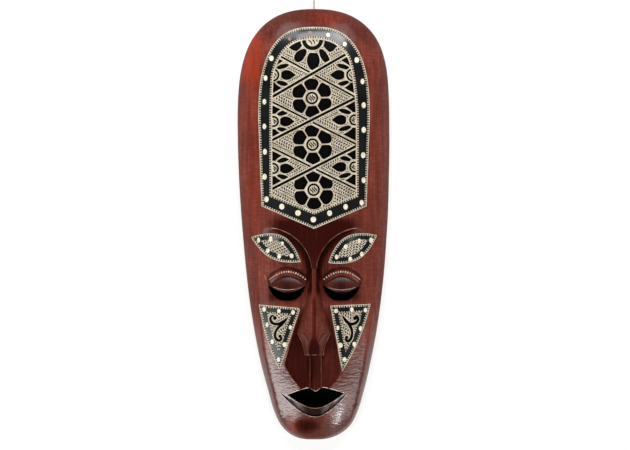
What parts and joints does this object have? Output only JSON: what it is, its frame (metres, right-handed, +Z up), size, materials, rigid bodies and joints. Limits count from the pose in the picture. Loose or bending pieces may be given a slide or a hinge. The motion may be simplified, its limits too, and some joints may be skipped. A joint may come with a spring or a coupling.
{
  "type": "wall mask",
  "caption": "Long carved wooden wall mask, stained red-brown and glossy, with black panels inlaid with pale line work and shell dots, hung on a string",
  "frame": {"origin": "the point on the wall where a nail or hook holds the loop of the string, on the plane of the mask's back rim", "axes": "+Z up along the length of the mask, +X to the right as one looks at the face, +Y into the wall, so that the face looks along -Y"},
  "size_m": [0.176, 0.0602, 0.5389],
  "materials": {
    "stained_wood": "stained red-brown under glossy lacquer",
    "black_resin": "black resin paste, rubbed smooth and lacquered",
    "lime_filler": "pale lime paste rubbed into cut lines",
    "shell": "polished cut shell",
    "brass_wire": "bent wire, dull",
    "string": "twisted natural fibre"
  },
  "bodies": {
    "string": {"loop_knot": "string", "hanging_string": "string", "eye_knot": "string"},
    "mask": {"mask_body": "stained_wood", "forehead_panel": "black_resin", "forehead_linework": "lime_filler", "forehead_lattice": "black_resin", "forehead_flowers": "black_resin", "forehead_shell_dots": "shell", "brow_panel_left": "black_resin", "brow_linework_left": "lime_filler", "brow_shell_dots_left": "shell", "brow_panel_right": "black_resin", "brow_linework_right": "lime_filler", "brow_shell_dots_right": "shell", "cheek_panel_left": "black_resin", "cheek_linework_left": "lime_filler", "cheek_scroll_left": "black_resin", "cheek_shell_dots_left": "shell", "cheek_panel_right": "black_resin", "cheek_linework_right": "lime_filler", "cheek_scroll_right": "black_resin", "cheek_shell_dots_right": "shell", "eyelid_beads_left": "lime_filler", "eyelid_beads_right": "lime_filler", "screw_eye": "brass_wire"}
  },
  "joints": [
    {"name": "mask_swing", "type": "hinge", "parent": "string", "child": "mask", "pos_m": [0, -0.0045, -0.062], "axis": [0, 1, 0], "range_deg": [-15, 15]}
  ]
}
